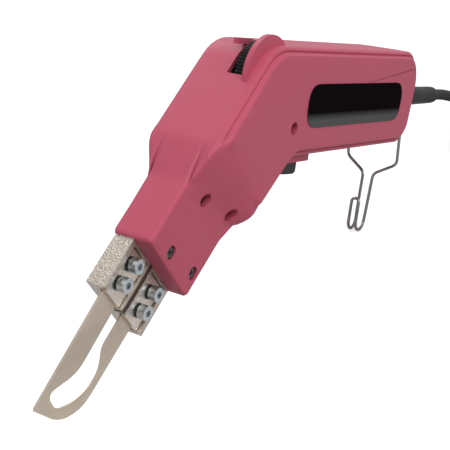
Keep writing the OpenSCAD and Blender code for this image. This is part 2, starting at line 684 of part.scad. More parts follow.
// Wire stand: pivot stubs, legs, neck, hooked foot and closed tip in one bent wire
tip_z = pivot[1] - 47.5;
tip_r = 2.4;
neck_half = 3.3;
half_wire = concat(
    soft_path([[pivot[0], leg_y - 1.6, pivot[1], 0], [pivot[0], leg_y, pivot[1], 1.2],
        [pivot[0] + leg_lean, leg_y, pivot[1] - leg_drop, 3], [pivot[0] + 1.5, neck_half, pivot[1] - 32.5, 3],
        [pivot[0], neck_half - 0.4, foot_c[1] + 3, 0]], 5),
    [for (a = [0 : -15 : -180])
        [foot_c[0] + foot_r * cos(a), neck_half - 0.6 + a / 600, foot_c[1] + foot_r * sin(a)]],
    [for (a = [0 : 18 : 90]) [foot_c[0] - foot_r, tip_r * cos(a), tip_z - tip_r + tip_r * sin(a)]]);
whole_wire = concat(half_wire, [for (i = [len(half_wire) - 2 : -1 : 0])
    [half_wire[i].x, -half_wire[i].y, half_wire[i].z]]);
module wire_stand() {
    color("#c8c8c8") stand_up() {
        tube(whole_wire, wire_r - 0.02, 10, [1, 0, 0.3]);
        post(pivot, stub_in + 0.4, leg_y - 1.2, wire_r);
        post(pivot, 1.2 - leg_y, -stub_in - 0.4, wire_r);
    }
}

// Boot with a flange inside the rear wall and a taper outside it
module cord_boot() {
    l = boot_l;
    cord_r = cord_d / 2 + seat_c;
    color("#2a2b2c") stand_up() translate([rear_x, seam_y, boot_z]) rotate([0, 90, 0])
        rotate_extrude($fn = fine) polygon(concat([[cord_r, -wall - 7.6], [boot_r + 2, -wall - 7.6],
            [boot_r + 2, -wall - 4.6], [neck_r, -wall - 4.6],
            [neck_r, 1.2], [boot_r, 1.2], [boot_r, 3], [boot_r - 0.5, l - 6]],
            [for (a = [0 : 15 : 75]) [boot_r - 2 + 1.4 * cos(a), l - 4 + 4 * sin(a)]], [[cord_r, l]]));
}
bar_t = 2.4;
bar_screw_r = 1.4;
module cord_clamp() {
    color("#3b3b3d") stand_up() difference() {
        translate([clamp_x[0], bar_y - bar_t, clamp_post_z[0] - 3])
            cube([clamp_x[1] - clamp_x[0], bar_t, clamp_post_z[1] - clamp_post_z[0] + 6]);
        for (z = clamp_post_z)
            post([(clamp_x[0] + clamp_x[1]) / 2, z], bar_y - bar_t - 1, bar_y + 1, bar_screw_r + 0.2);
    }
}
module clamp_bar_screws() {
    color("#8a8d90") stand_up() for (z = clamp_post_z) {
        post([(clamp_x[0] + clamp_x[1]) / 2, z], bar_y - bar_t - 1.8, bar_y - bar_t, 2.6);
        post([(clamp_x[0] + clamp_x[1]) / 2, z], bar_y - bar_t, bar_y + 8, bar_screw_r);
    }
}

// Cord behind the tool: down from the boot on to a tied hank of four layers, with the plug in its middle
tie_t = 1.2;
tie_w = 8;
hank_at = [365, -9];
hank_half = 68;
hank_r = 21.2;
hank_step = cord_d + 0.6;
hank_layers = 4;
hank_z = tie_t + 0.3 + cord_d / 2;
// Loops round two runs and two half circles; s counts turns, and each layer is left along the near run
function hank_level(s) = hank_z + hank_step * (hank_layers - [for (k = 0, z = 0; k <= hank_layers;
    z = z + smooth01((s - k) * 4), k = k + 1) z][hank_layers]);
function hank_pt(s) = let (f = 4 * (s - floor(s)), t = f - floor(f), side = f < 2 ? 1 : -1,
    a = 90 * (2 * t - 1) + (f < 2 ? 0 : 180))
    concat(hank_at + (floor(f) % 2 == 0 ? side * [hank_half * (2 * t - 1), -hank_r]
        : [side * hank_half, 0] + hank_r * [cos(a), sin(a)]), [hank_level(s)]);
hank_mid = [for (k = [0 : 24 * hank_layers]) hank_pt(k / 24)];
hank_pts = concat([hank_mid[0] - [cord_d, 0, 0]], hank_mid, [hank_mid[len(hank_mid) - 1] + [cord_d, 0, 0]]);
hank_gap = min([for (i = [0 : len(hank_pts) - 14], j = [i + 13 : len(hank_pts) - 1])
    norm(hank_pts[i] - hank_pts[j])]) - cord_d;
echo("least gap between the hank's loops, mm", hank_gap);
hank_ends = [hank_pts[0], hank_pts[len(hank_pts) - 1]];
cord_mid = [[210, -3.2, 62.8], [222, -4.8, 59.4], [234, -8.4, 55.2], [245, -13.6, 50.4], [255, -19.2, 45.6],
    [265, -24.6, 40.8], [274, -28.2, 37.6]];
tail_mid = [[313, -28, 5.3], [322, -24, 6.2], [331, -18, 7.5], [340, -12.4, 9], [349, -9.4, 9.9],
    [357, -9, 10]];
cord_pts = concat([for (x = [clamp_x[0] - 6, rear_x, boot_x - 10, boot_x + 8]) stand([x, seam_y, boot_z])],
    cord_mid, [hank_ends[0] - [cord_d, 0, 0], hank_ends[0] - [seat_c, 0, 0]]);
plug_x = 360;
plug_z = 10;
plug_y = hank_at[1];
tail_pts = concat([for (x = [seat_c, cord_d / 2]) hank_ends[1] + [x, 0, 0]], tail_mid,
    [[plug_x + 4, plug_y, plug_z]]);
module power_cord() {
    color("#333536") tube(cord_pts, cord_d / 2, 10, [0, 1, 0.2]);
}
module cord_coil() {
    color("#333536") tube(hank_pts, cord_d / 2, 6, [0, 0, 1]);
}
module cord_tail() {
    color("#333536") tube(tail_pts, cord_d / 2, 10, [0, 0, 1]);
}
tie_y = [for (k = [-1, 1]) hank_at[1] + hank_r + k * (cord_d / 2 + 0.8)];
tie_z = [tie_t, hank_z + hank_step * (hank_layers - 1) + cord_d / 2 + 0.8];
function tie_outline(grow) = [for (c = [[0, 0], [1, 0], [1, 1], [0, 1]])
    [tie_y[c[0]] + (2 * c[0] - 1) * grow, tie_z[c[1]] + (2 * c[1] - 1) * grow, 2]];
module cord_tie() {
    color("#1f1f20") translate([hank_at[0] - tie_w / 2, 0, 0]) rotate([90, 0, 90])
        linear_extrude(tie_w) difference() {
            polygon(rounded(tie_outline(tie_t), 4));
            polygon(rounded(tie_outline(0), 4));
        }
}
plug_l = 38;
plug_w = 25;
plug_h = 18;
module plug_body() {
    color("#262728") difference() {
        union() {
            translate([plug_x, plug_y, plug_z - plug_h / 2]) linear_extrude(plug_h)
                polygon(rounded([[6, -6, 4], [16, -plug_w / 2, 4], [plug_l, -plug_w / 2, 3],
                    [plug_l, plug_w / 2, 3], [16, plug_w / 2, 4], [6, 6, 4]], 5));
            translate([plug_x + 1, plug_y, plug_z]) rotate([0, 90, 0])
                cylinder(r = cord_d / 2 + 1.4, h = 7, $fn = fine);
        }
        translate([plug_x - 4, plug_y, plug_z]) rotate([0, 90, 0])
            cylinder(r = cord_d / 2 + seat_c, h = 8, $fn = fine);
    }
}
pin_l = 17;
module plug_pins() {
    color("#c9b27a") for (k = [-1, 1])
        translate([plug_x + plug_l, plug_y + k * 6.35 - 0.75, plug_z - 3.15]) cube([pin_l, 1.5, 6.3]);
}

left_shell();
right_shell();
case_screws();
label_plate();
temperature_dial();
dial_shaft();
potentiometer();
control_board();
trigger();
trigger_spring();
switch_body();
transformer_core();
primary_winding();
secondary_strap();
electrode_carrier();
carrier_screws();
upper_electrode();
lower_electrode();
electrode_insulator();
upper_clamp_plate();
lower_clamp_plate();
clamp_screws();
spring_washers();
blade();
wire_stand();
cord_boot();
cord_clamp();
clamp_bar_screws();
power_cord();
cord_coil();
cord_tail();
cord_tie();
plug_body();
plug_pins();
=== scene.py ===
import math

import bmesh
import bpy
import numpy as np
from mathutils import Euler, Matrix, Vector


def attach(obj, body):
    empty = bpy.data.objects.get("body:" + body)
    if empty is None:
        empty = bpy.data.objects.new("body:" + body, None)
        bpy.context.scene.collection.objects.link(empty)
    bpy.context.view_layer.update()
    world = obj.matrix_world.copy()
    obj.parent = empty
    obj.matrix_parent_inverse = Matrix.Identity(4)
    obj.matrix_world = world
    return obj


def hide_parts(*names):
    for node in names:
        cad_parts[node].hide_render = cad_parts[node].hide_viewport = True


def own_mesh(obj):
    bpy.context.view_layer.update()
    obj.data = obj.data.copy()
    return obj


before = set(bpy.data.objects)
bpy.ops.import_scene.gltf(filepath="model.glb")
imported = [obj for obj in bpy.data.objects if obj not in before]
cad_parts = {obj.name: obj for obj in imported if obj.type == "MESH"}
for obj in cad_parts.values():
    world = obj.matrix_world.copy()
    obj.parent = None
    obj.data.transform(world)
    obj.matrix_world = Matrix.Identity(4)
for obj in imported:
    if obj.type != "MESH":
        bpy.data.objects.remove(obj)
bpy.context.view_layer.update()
print("hot knife: frame loaded with", len(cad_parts), "nodes")

scene = bpy.context.scene
scene.view_settings.view_transform = "Standard"
mm = 0.001  # the frame is in metres, sizes below are in millimetres


# Camera at the photograph's place: in front of the blade, left of the tool, a little above it
photoCamera = {
    "place": (-447.2, -250.2, 237.3),
    "turn": (68.12, -1.66, -56.70),  # degrees, tilt, roll and heading
    "lens": 82.0,
    "nearest": 10.0,
}


def makeCamera(values):
    data = bpy.data.cameras.new("photoCamera")
    data.lens = values["lens"]
    data.clip_start = values["nearest"] * mm
    camera = bpy.data.objects.new("photoCamera", data)
    camera.matrix_world = Matrix.LocRotScale(
        Vector(values["place"]) * mm,
        Euler([math.radians(a) for a in values["turn"]]),
        None,
    )
    scene.collection.objects.link(camera)
    scene.camera = camera


makeCamera(photoCamera)
print("hot knife: camera placed")


# Body stance: the tool is tipped until the blade and the stand's foot touch the ground
stance = {"pitch": 10.4668, "offset": (149.113, 0.0, -59.370)}


def turnAbout(points, angle):  # a turn by degrees in the plane of x and z
    a = math.radians(angle)
    x, y, z = np.asarray(points, float).T
    return np.stack([x * math.cos(a) - z * math.sin(a), y, z * math.cos(a) + x * math.sin(a)], 1)


def standUp(points):  # body axes to the ground's axes, in millimetres
    return turnAbout(points, -stance["pitch"]) - np.array(stance["offset"])


# Grid meshes
def addPiece(name, mesh):
    piece = bpy.data.objects.new(name, mesh)
    scene.collection.objects.link(piece)
    return piece


def gridMesh(name, points, closeAround=True):
    # points is rows by columns by 3: each row is one ring, and the rows follow each other along the piece
    rows, cols = points.shape[:2]
    index = np.arange(rows * cols).reshape(rows, cols)
    a = index[:-1]
    b = index[1:]
    if closeAround:
        quads = np.stack([a, np.roll(a, -1, 1), np.roll(b, -1, 1), b], -1).reshape(-1, 4)
    else:
        quads = np.stack([a[:, :-1], a[:, 1:], b[:, 1:], b[:, :-1]], -1).reshape(-1, 4)
    faces = quads.tolist()
    if closeAround:
        faces.append(index[0, ::-1].tolist())
        faces.append(index[-1].tolist())
    mesh = bpy.data.meshes.new(name)
    mesh.from_pydata(points.reshape(-1, 3).tolist(), [], faces)
    mesh.polygons.foreach_set("use_smooth", np.ones(len(faces), bool))
    mesh.update()
    return addPiece(name, mesh)


def smoothPath(points, step, perSpan=24):
    # Catmull-Rom curve through the points, resampled to an even spacing along its length
    p = np.asarray(points, float)
    e = np.vstack([2 * p[0] - p[1], p, 2 * p[-1] - p[-2]])
    t = np.linspace(0, 1, perSpan, endpoint=False)[:, None, None]
    a, b, c, d = e[:-3], e[1:-2], e[2:-1], e[3:]
    curve = 0.5 * (2 * b + (c - a) * t + (2 * a - 5 * b + 4 * c - d) * t**2 + (3 * b - a - 3 * c + d) * t**3)
    curve = np.vstack([curve.transpose(1, 0, 2).reshape(-1, 3), p[-1:]])
    along = np.concatenate([[0], np.cumsum(np.linalg.norm(np.diff(curve, axis=0), axis=1))])
    even = np.linspace(0, along[-1], max(2, int(along[-1] / step)))
    return np.stack([np.interp(even, along, curve[:, k]) for k in range(3)], 1)


def sweep(path, radius, sides, firstSide=(0.0, 0.3, 1.0)):
    # a circle carried along the path without twist: each frame is the last one turned with the tangent
    tangent = np.gradient(path, axis=0)
    tangent /= np.linalg.norm(tangent, axis=1)[:, None]
    normal = np.zeros_like(path)
    n = np.cross(tangent[0], firstSide)
    for i, t in enumerate(tangent):
        n = n - t * (n @ t)
        n = n / np.linalg.norm(n)
        normal[i] = n
    side = np.cross(tangent, normal)
    angle = np.linspace(0, 2 * math.pi, sides, endpoint=False)[None, :, None]
    return path[:, None] + radius * (np.cos(angle) * normal[:, None] + np.sin(angle) * side[:, None])


# Cord: out of the boot, down on to a tied hank of four layers behind the tool, and to the plug in its middle
mainsCord = {
    "diameter": 7.2,
    "axis": (-3.0, 69.0),  # its y and z in the boot, in body axes
    "inBoot": (318.0, 321.6, 339.6),  # x along the boot, in body axes
    "fall": [
        (210, -3.2, 62.8), (222, -4.8, 59.4), (234, -8.4, 55.2), (245, -13.6, 50.4), (255, -19.2, 45.6),
        (265, -24.6, 40.8), (274, -28.2, 37.6),
    ],
    "tail": [
        (313, -28, 5.3), (322, -24, 6.2), (331, -18, 7.5), (340, -12.4, 9), (349, -9.4, 9.9), (357, -9, 10),
    ],
    "plugFace": (364, -9, 10),
    "hankCentre": (365, -9),
    "runHalf": 68.0,
    "foldRadius": 21.2,
    "layers": 4,
    "layerStep": 7.8,
    "lift": 5.1,  # centre of the lowest layer above the table
    "entry": (-2.0, -1.0), "leave": (1.0, 1.5),  # straight points before and after the hank, in diameters
    "perTurn": 48, "step": 2.4, "sides": 20,
}


def smoothStep(t):
    c = np.clip(t, 0, 1)
    return c**2 * (3 - 2 * c)


def hankPoints(values):
    # turns s go round two straight runs and two half circles, and drop one layer along each near run
    aHair = 1e-6  # keeps the last point of the last turn
    s = np.arange(0, values["layers"] + aHair, 1 / values["perTurn"])
    quarter = 4 * (s % 1)
    t = quarter % 1
    side = np.where(quarter < 2, 1, -1)
    angle = math.pi * (t - 0.5) + np.where(quarter < 2, 0, math.pi)
    onRun = quarter.astype(int) % 2 == 0
    half = values["runHalf"]
    radius = values["foldRadius"]
    x = np.where(onRun, side * half * (2 * t - 1), side * half + radius * np.cos(angle))
    y = np.where(onRun, -side * radius, radius * np.sin(angle))
    dropped = sum(smoothStep(4 * (s - k)) for k in range(values["layers"]))
    z = values["lift"] + values["layerStep"] * (values["layers"] - dropped)
    cx, cy = values["hankCentre"]
    return np.stack([x + cx, y + cy, z], 1)


def makeCord(values):
    y, z = values["axis"]
    start = standUp([(x, y, z) for x in values["inBoot"]])
    hank = hankPoints(values)
    straight = np.array((values["diameter"], 0, 0))
    entry = [hank[0] + k * straight for k in values["entry"]]
    leave = [hank[-1] + k * straight for k in values["leave"]]
    path = np.vstack([start, values["fall"], entry, hank, leave, values["tail"], values["plugFace"]])
    path = smoothPath(path, values["step"]) * mm
    piece = gridMesh("mainsCord", sweep(path, values["diameter"] / 2 * mm, values["sides"]))
    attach(piece, "tool")
    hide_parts("power_cord", "cord_coil", "cord_tail")
    return piece


cordPiece = makeCord(mainsCord)


# Return spring of the trigger: an open helix from the trigger's flange up to the switch
returnSpring = {
    "axis": (135.25, 1.0),  # its x and y, in body axes
    "ends": (49.1, 55.3),  # from the trigger's flange up to the switch
    "radius": 3.4, "wire": 0.7, "turns": 3, "travel": 4.0, "perTurn": 24, "sides": 10,
}


def makeSpring(values):
    x, y = values["axis"]
    low, high = values["ends"]
    turn = np.linspace(0, 2 * math.pi * values["turns"], values["perTurn"] * values["turns"] + 1)
    rise = np.linspace(low + values["wire"] / 2, high - values["wire"] / 2, len(turn))
    helix = np.stack([x + values["radius"] * np.cos(turn), y + values["radius"] * np.sin(turn), rise], 1)
    coil = sweep(standUp(helix) * mm, values["wire"] / 2 * mm, values["sides"])
    piece = gridMesh("returnSpring", coil)
    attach(piece, "tool")
    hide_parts("trigger_spring")
    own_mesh(piece)
    return piece


springPiece = makeSpring(returnSpring)
print("hot knife: return spring made")


# Shader helpers
def newMaterial(name, metallic=0.0):
    material = bpy.data.materials.new(name)
    material.use_nodes = True
    shader = material.node_tree.nodes["Principled BSDF"]
    shader.inputs["Metallic"].default_value = metallic
    return material, material.node_tree, shader


def objectCoords(tree, scale=(1, 1, 1), turn=(0, 0, 0)):
    coords = tree.nodes.new("ShaderNodeTexCoord")
    mapping = tree.nodes.new("ShaderNodeMapping")
    mapping.inputs["Scale"].default_value = scale
    mapping.inputs["Rotation"].default_value = [math.radians(a) for a in turn]
    tree.links.new(coords.outputs["Object"], mapping.inputs["Vector"])
    return mapping.outputs["Vector"]


def feed(tree, socket, value):  # a link from another node, or a plain value
    if isinstance(value, bpy.types.NodeSocket):
        tree.links.new(value, socket)
    else:
        socket.default_value = value


def mathNode(tree, operation, first, second):
    node = tree.nodes.new("ShaderNodeMath")
    node.operation = operation
    feed(tree, node.inputs[0], first)
    feed(tree, node.inputs[1], second)
    return node.outputs[0]


def rampBetween(tree, value, low, high, lowOut=0.0, highOut=1.0):
    node = tree.nodes.new("ShaderNodeMapRange")
    node.inputs["From Min"].default_value = low
    node.inputs["From Max"].default_value = high
    node.inputs["To Min"].default_value = lowOut
    node.inputs["To Max"].default_value = highOut
    tree.links.new(value, node.inputs["Value"])
    return node.outputs["Result"]


def mixColour(tree, factor, first, second):
    node = tree.nodes.new("ShaderNodeMix")
    node.data_type = "RGBA"
    tree.links.new(factor, node.inputs[0])
    for socket, value in zip(node.inputs[6:8], (first, second)):  # the colour sockets A and B
        feed(tree, socket, value if isinstance(value, bpy.types.NodeSocket) else (*value, 1))
    return node.outputs[2]


def bumpInto(tree, shader, height, strength, distance):
    bump = tree.nodes.new("ShaderNodeBump")
    bump.inputs["Strength"].default_value = strength
    bump.inputs["Distance"].default_value = distance * mm
    tree.links.new(height, bump.inputs["Height"])
    tree.links.new(bump.outputs["Normal"], shader.inputs["Normal"])


def shaderGroup(name, inputs, outputs):  # a group with a vector and some numbers going in, and numbers coming out
    group = bpy.data.node_groups.new(name, "ShaderNodeTree")
    group.interface.new_socket("Vector", in_out="INPUT", socket_type="NodeSocketVector")
    for socket in inputs:
        group.interface.new_socket(socket, in_out="INPUT", socket_type="NodeSocketFloat")
    for socket in outputs:
        group.interface.new_socket(socket, in_out="OUTPUT", socket_type="NodeSocketFloat")
    return group, group.nodes.new("NodeGroupInput"), group.nodes.new("NodeGroupOutput")


def noiseNode(tree, vector, scale, detail, roughness):
    node = tree.nodes.new("ShaderNodeTexNoise")
    node.inputs["Detail"].default_value = detail
    node.inputs["Roughness"].default_value = roughness
    tree.links.new(vector, node.inputs["Vector"])
    tree.links.new(scale, node.inputs["Scale"])
    return node.outputs["Fac"]


def useGroup(tree, group, vector, **values):
    node = tree.nodes.new("ShaderNodeGroup")
    node.node_tree = group
    tree.links.new(vector, node.inputs["Vector"])
    for key, value in values.items():
        node.inputs[key].default_value = value
    return node.outputs


# Surface groups: each noise has its detail and roughness, each range the noise levels that become 0 and 1
grainValues = {"fine": (2.0, 0.6), "slow": (4.0, 0.55), "sheen": (0.35, 0.65)}
brushValues = {"lines": (3.0, 0.65), "stain": (4.0, 0.6), "stained": (0.38, 0.66)}
hammerValues = {"smoothness": 0.6, "pits": (2.0, 0.5), "pitShare": 0.35, "dented": (0.1, 0.6)}


def makeMouldGrain(values):
    # fine spark-eroded grain of a moulding, with slow drifts of sheen from handling
    group, given, out = shaderGroup("mouldGrain", ["Grain", "Drift"], ["Height", "Sheen"])
    fine = noiseNode(group, given.outputs["Vector"], given.outputs["Grain"], *values["fine"])
    slow = noiseNode(group, given.outputs["Vector"], given.outputs["Drift"], *values["slow"])
    group.links.new(fine, out.inputs["Height"])
    group.links.new(rampBetween(group, slow, *values["sheen"]), out.inputs["Sheen"])
    return group


def makeBrushedLines(values):
    # fine parallel scratches: noise stretched by the mapping in front of the group
    group, given, out = shaderGroup("brushedLines", ["Lines", "Stain"], ["Height", "Stain"])
    lines = noiseNode(group, given.outputs["Vector"], given.outputs["Lines"], *values["lines"])
    stain = noiseNode(group, given.outputs["Vector"], given.outputs["Stain"], *values["stain"])
    group.links.new(lines, out.inputs["Height"])
    group.links.new(rampBetween(group, stain, *values["stained"]), out.inputs["Stain"])
    return group


def makeHammered(values):
    # shallow dents of a struck and plated face, in two sizes
    group, given, out = shaderGroup("hammeredFace", ["Dents", "Pits"], ["Height", "Mask"])
    cells = group.nodes.new("ShaderNodeTexVoronoi")
    cells.feature = "SMOOTH_F1"
    cells.inputs["Smoothness"].default_value = values["smoothness"]
    group.links.new(given.outputs["Vector"], cells.inputs["Vector"])
    group.links.new(given.outputs["Dents"], cells.inputs["Scale"])
    pits = noiseNode(group, given.outputs["Vector"], given.outputs["Pits"], *values["pits"])
    pits = mathNode(group, "MULTIPLY", pits, values["pitShare"])
    group.links.new(mathNode(group, "ADD", cells.outputs["Distance"], pits), out.inputs["Height"])
    group.links.new(rampBetween(group, cells.outputs["Distance"], *values["dented"]), out.inputs["Mask"])
    return group


mouldGrain = makeMouldGrain(grainValues)
brushedLines = makeBrushedLines(brushValues)
hammeredFace = makeHammered(hammerValues)


# Finishes
recessShading = {"samples": 8, "free": (0.1, 0.42), "darkestShade": 0.16}  # painted shade in bores and grooves: the share of free sky that maps to full shade and to none, and the share of the colour left in full shade
polish = (0.3, 0.7)  # heights of brushed lines between which the roughness changes
relief = {"grain": 0.05, "lines": 0.03, "dents": 0.25, "lacquer": 0.03}  # depth of each bump in millimetres


def paintedRecessShade(tree, reach):
    # painted shade mask: 0 deep in bores and grooves, where the colour is darkened as if shaded, 1 on open faces:
    # how much of the sky within reach is free
    free = tree.nodes.new("ShaderNodeAmbientOcclusion")
    free.samples = recessShading["samples"]
    free.inputs["Distance"].default_value = reach * mm
    return rampBetween(tree, free.outputs["AO"], *recessShading["free"])


def mouldedFinish(name, look):
    # coloured moulding: grain in the bump, handled patches a little glossier and deeper in colour, and painted shade
    # that darkens bores and grooves
    material, tree, shader = newMaterial(name)
    vector = objectCoords(tree)
    grain = useGroup(tree, mouldGrain, vector, Grain=look["grain"], Drift=look["drift"])
    colour = mixColour(tree, grain["Sheen"], look["colour"], look["handled"])
    # painted shade: the colour goes towards a dark copy of itself where little sky is free
    free = paintedRecessShade(tree, look["recessShading"])
    paintedShadeColour = [recessShading["darkestShade"] * c for c in look["handled"]]
    tree.links.new(mixColour(tree, free, paintedShadeColour, colour), shader.inputs["Base Color"])
    low, high = look["roughness"]
    tree.links.new(rampBetween(tree, grain["Sheen"], 0, 1, low, high), shader.inputs["Roughness"])
    shader.inputs["Specular IOR Level"].default_value = look["specular"]
    bumpInto(tree, shader, grain["Height"], look["bump"], relief["grain"])
    return material


def brushedFinish(name, look):
    # metal with fine lines along one way and a slow stain
    material, tree, shader = newMaterial(name, metallic=1.0)
    vector = objectCoords(tree, look["stretch"], look["turn"])
    lines = useGroup(tree, brushedLines, vector, Lines=look["lines"], Stain=look["stainScale"])
    colour = mixColour(tree, lines["Stain"], look["colour"], look["stain"])
    tree.links.new(colour, shader.inputs["Base Color"])
    low, high = look["roughness"]
    tree.links.new(rampBetween(tree, lines["Height"], *polish, low, high), shader.inputs["Roughness"])
    bumpInto(tree, shader, lines["Height"], look["bump"], relief["lines"])
    return material


def hammeredFinish(name, look):
    # plated metal, darker and duller towards the rims of its dents
    material, tree, shader = newMaterial(name, metallic=1.0)
    vector = objectCoords(tree)
    dents = useGroup(tree, hammeredFace, vector, Dents=look["dents"], Pits=look["pits"])
    tree.links.new(mixColour(tree, dents["Mask"], look["colour"], look["rim"]), shader.inputs["Base Color"])
    low, high = look["roughness"]
    tree.links.new(rampBetween(tree, dents["Mask"], 0, 1, low, high), shader.inputs["Roughness"])
    bumpInto(tree, shader, dents["Height"], look["bump"], relief["dents"])
    return material


# recessShading in each moulded look is how far its painted recess shade looks around, in millimetres
mouldedLooks = {
    "bodyPlastic": {
        "colour": (0.500, 0.090, 0.144), "handled": (0.475, 0.083, 0.134), "roughness": (0.50, 0.42),
        "grain": 2600.0, "drift": 30.0, "recessShading": 5.0, "bump": 0.25, "specular": 0.22,
    },
    "blackPlastic": {
        "colour": (0.016, 0.015, 0.016), "handled": (0.012, 0.011, 0.012), "roughness": (0.42, 0.34),
        "grain": 3000.0, "drift": 60.0, "recessShading": 3.0, "bump": 0.2, "specular": 0.16,
    },
    "cordRubber": {
        "colour": (0.020, 0.020, 0.021), "handled": (0.015, 0.015, 0.016), "roughness": (0.5, 0.42),
        "grain": 2200.0, "drift": 50.0, "recessShading": 3.0, "bump": 0.25, "specular": 0.14,
    },
    "brownFibre": {
        "colour": (0.060, 0.022, 0.014), "handled": (0.035, 0.012, 0.008), "roughness": (0.62, 0.5),
        "grain": 1500.0, "drift": 120.0, "recessShading": 3.0, "bump": 0.5, "specular": 0.4,
    },
    "greenBoard": {
        "colour": (0.02, 0.11, 0.035), "handled": (0.015, 0.085, 0.028), "roughness": (0.35, 0.28),
        "grain": 900.0, "drift": 90.0, "recessShading": 3.0, "bump": 0.2, "specular": 0.5,
    },
    "coreVarnish": {
        "colour": (0.09, 0.09, 0.1), "handled": (0.06, 0.06, 0.07), "roughness": (0.5, 0.4),
        "grain": 1800.0, "drift": 70.0, "recessShading": 3.0, "bump": 0.4, "specular": 0.4,
    },
}
brushedLooks = {
    "dullScrew": {
        "colour": (0.16, 0.155, 0.15), "stain": (0.09, 0.085, 0.08), "roughness": (0.34, 0.5), "lines": 800.0,
        "stainScale": 200.0, "stretch": (1, 1, 1), "turn": (0, 0, 0), "bump": 0.2,
    },
    "zincScrew": {
        "colour": (0.54, 0.59, 0.62), "stain": (0.42, 0.46, 0.49), "roughness": (0.26, 0.4), "lines": 900.0,
        "stainScale": 260.0, "stretch": (1, 0.2, 1), "turn": (0, 0, 0), "bump": 0.15,
    },
    "smoothNickel": {
        "colour": (0.66, 0.61, 0.55), "stain": (0.56, 0.51, 0.45), "roughness": (0.24, 0.38), "lines": 700.0,
        "stainScale": 120.0, "stretch": (0.1, 1, 1), "turn": (0, 37, 0), "bump": 0.12,
    },
    "bladeSteel": {
        "colour": (0.56, 0.49, 0.41), "stain": (0.47, 0.40, 0.33), "roughness": (0.3, 0.44), "lines": 700.0,
        "stainScale": 40.0, "stretch": (0.06, 1, 1), "turn": (0, 37, 0), "bump": 0.15,
    },
    "brightWire": {
        "colour": (0.24, 0.23, 0.225), "stain": (0.18, 0.17, 0.165), "roughness": (0.2, 0.32), "lines": 500.0,
        "stainScale": 150.0, "stretch": (1, 1, 0.2), "turn": (0, 0, 0), "bump": 0.1,
    },
    "copper": {
        "colour": (0.58, 0.24, 0.09), "stain": (0.42, 0.16, 0.06), "roughness": (0.25, 0.4), "lines": 1200.0,
        "stainScale": 90.0, "stretch": (1, 0.1, 1), "turn": (0, 0, 0), "bump": 0.4,
    },
    "brass": {
        "colour": (0.66, 0.52, 0.26), "stain": (0.55, 0.42, 0.2), "roughness": (0.2, 0.32), "lines": 900.0,
        "stainScale": 160.0, "stretch": (0.1, 1, 1), "turn": (0, 0, 0), "bump": 0.1,
    },
}
nickelBlockLook = {
    "colour": (0.60, 0.55, 0.49), "rim": (0.42, 0.37, 0.32), "roughness": (0.22, 0.36),
    "dents": 1500.0, "pits": 3600.0, "bump": 0.9,
}
labelLook = {
    "face": (0.007, 0.005, 0.0055), "paintedReflection": (0.10, 0.10, 0.101), "roughness": (0.3, 0.38), "specular": 0.0,
    "reflectionTop": 97.4,  # height of the painted reflection's upper edge, square to the tipped handle
    "reflectionFade": 4.0, "grain": 1800.0, "drift": 50.0, "bump": 0.05,
}


def labelFinish(name, look):
    # bare lacquered plate with a painted reflection: a slightly lighter strip along its lower edge
    material, tree, shader = newMaterial(name)
    shader.inputs["Specular IOR Level"].default_value = look["specular"]
    vector = objectCoords(tree, (1, 1, 1), (0, -stance["pitch"], 0))
    split = tree.nodes.new("ShaderNodeSeparateXYZ")
    tree.links.new(vector, split.inputs["Vector"])
    top = look["reflectionTop"]
    # painted reflection: the colour is lighter below reflectionTop, fading in over reflectionFade
    paintedReflection = rampBetween(tree, split.outputs["Z"], (top - look["reflectionFade"]) * mm, top * mm, 1, 0)
    tree.links.new(mixColour(tree, paintedReflection, look["face"], look["paintedReflection"]), shader.inputs["Base Color"])
    grain = useGroup(tree, mouldGrain, objectCoords(tree), Grain=look["grain"], Drift=look["drift"])
    low, high = look["roughness"]
    tree.links.new(rampBetween(tree, grain["Sheen"], 0, 1, low, high), shader.inputs["Roughness"])
    bumpInto(tree, shader, grain["Height"], look["bump"], relief["lacquer"])
    return material


finishes = {name: mouldedFinish(name, look) for name, look in mouldedLooks.items()}
finishes.update({name: brushedFinish(name, look) for name, look in brushedLooks.items()})
finishes["hammeredNickel"] = hammeredFinish("hammeredNickel", nickelBlockLook)
finishes["labelLacquer"] = labelFinish("labelLacquer", labelLook)
print("hot knife: finishes made")


# Shading of the solids: points merged, edges softened by a small bevel, round stretches shaded smooth
edgeShading = {"bevelOver": 40, "smoothUnder": 32, "segments": 2, "weight": 60}  # angles in degrees
mergeWithin = 0.000002  # metres


def makeSmoothByAngle(values):
    group = bpy.data.node_groups.new("smoothByAngle", "GeometryNodeTree")
    group.interface.new_socket("Geometry", in_out="INPUT", socket_type="NodeSocketGeometry")
    limit = group.interface.new_socket("Limit", in_out="INPUT", socket_type="NodeSocketFloat")
    limit.default_value = math.radians(values["smoothUnder"])
    group.interface.new_socket("Geometry", in_out="OUTPUT", socket_type="NodeSocketGeometry")
    given = group.nodes.new("NodeGroupInput")
    out = group.nodes.new("NodeGroupOutput")
    faces = group.nodes.new("GeometryNodeSetShadeSmooth")
    faces.domain = "FACE"
    edges = group.nodes.new("GeometryNodeSetShadeSmooth")
    edges.domain = "EDGE"
    angle = group.nodes.new("GeometryNodeInputMeshEdgeAngle")
    soft = group.nodes.new("FunctionNodeCompare")
    soft.operation = "LESS_THAN"
    group.links.new(angle.outputs["Unsigned Angle"], soft.inputs["A"])
    group.links.new(given.outputs["Limit"], soft.inputs["B"])
    group.links.new(given.outputs["Geometry"], faces.inputs["Geometry"])
    group.links.new(faces.outputs["Geometry"], edges.inputs["Geometry"])
    group.links.new(soft.outputs["Result"], edges.inputs["Shade Smooth"])
    group.links.new(edges.outputs["Geometry"], out.inputs["Geometry"])
    return group


smoothByAngle = makeSmoothByAngle(edgeShading)


